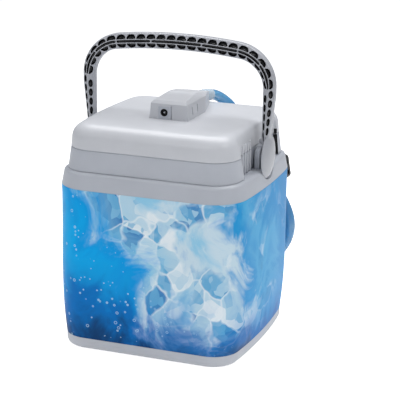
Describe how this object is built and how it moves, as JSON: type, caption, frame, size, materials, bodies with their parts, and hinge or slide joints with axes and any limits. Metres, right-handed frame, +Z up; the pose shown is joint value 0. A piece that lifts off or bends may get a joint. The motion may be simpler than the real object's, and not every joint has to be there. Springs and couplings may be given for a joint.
{
  "type": "hot cold therapy machine",
  "caption": "Insulated square-plan cooler with a lift-off motorised lid, low pump housing, rear hose coil with a release coupling, and an arched bail handle on two side pivots.",
  "frame": {"origin": "on the floor, under the middle of the cooler and of the handle's pivot axis", "axes": "+X to the cooler's right seen from the front, +Y to the rear where the hose leaves, +Z up"},
  "size_m": [0.2328, 0.2587, 0.3554],
  "materials": {
    "printed_film": "glossy film, icy blues and whites",
    "white_plastic": "smooth",
    "light_grey_plastic": "satin light grey",
    "grey_plastic": "satin cool grey",
    "white_gloss": "glossy soft plastic",
    "black_plastic": "matt black",
    "black_gloss": "glossy black",
    "white_foam": null,
    "black_foam": "open-cell filter foam",
    "grey_rubber": "matt",
    "black_rubber": "matt",
    "black_fabric": "hook-and-loop tape",
    "clear_tube": "clear soft tube",
    "blue_hose": "glossy translucent blue",
    "green_board": "coated circuit board",
    "steel": "plain steel"
  },
  "bodies": {
    "cooler": {"printed_wrap": "printed_film", "outer_shell": "white_plastic", "insulation_foam": "white_foam", "inner_liner": "white_plastic", "base_pan": "light_grey_plastic", "base_feet": "grey_rubber", "rim_collar": "grey_plastic"},
    "lid": {"lid_dome": "light_grey_plastic", "lid_skirt": "grey_plastic", "lid_underplate": "light_grey_plastic", "lid_gasket": "grey_rubber", "lid_foam": "white_foam", "lid_screws": "steel", "pump_cover": "light_grey_plastic", "jack_panel": "grey_plastic", "dc_jack": "black_plastic", "jack_pin": "steel", "circuit_board": "green_board", "cover_screws": "steel", "strainer_cage": "black_plastic", "filter_foam": "black_foam", "volute_cover": "black_plastic", "pump_body": "black_plastic", "pump_motor": "steel", "pump_column": "light_grey_plastic", "pump_screws": "steel", "outlet_tube": "clear_tube", "return_tube": "clear_tube", "motor_cable": "black_rubber", "hose_sleeve": "white_gloss", "hose_run": "blue_hose", "hose_coil": "blue_hose", "hose_tail": "blue_hose", "hose_strap": "black_fabric", "coupling_body": "black_plastic"},
    "handle": {"handle_frame": "grey_plastic", "pivot_pins": "steel"},
    "impeller": {"motor_shaft": "steel", "impeller": "black_plastic"},
    "release_button": {"coupling_button": "black_gloss"}
  },
  "joints": [
    {"name": "handle_swing", "type": "hinge", "parent": "cooler", "child": "handle", "pos_m": [0, 0, 0.2238], "axis": [1, 0, 0], "range_deg": [-12, 92]},
    {"name": "lid_lift", "type": "slide", "parent": "cooler", "child": "lid", "axis": [0, 0, 1], "range_m": [0, 0.035]},
    {"name": "impeller_spin", "type": "hinge", "parent": "lid", "child": "impeller", "pos_m": [0, 0.02, 0.0588], "axis": [0, 0, 1], "continuous": true},
    {"name": "button_press", "type": "slide", "parent": "lid", "child": "release_button", "axis": [0, -1, 0], "range_m": [0, 0.0015], "stiffness_N_per_m": 800, "springref_m": -0.001}
  ]
}
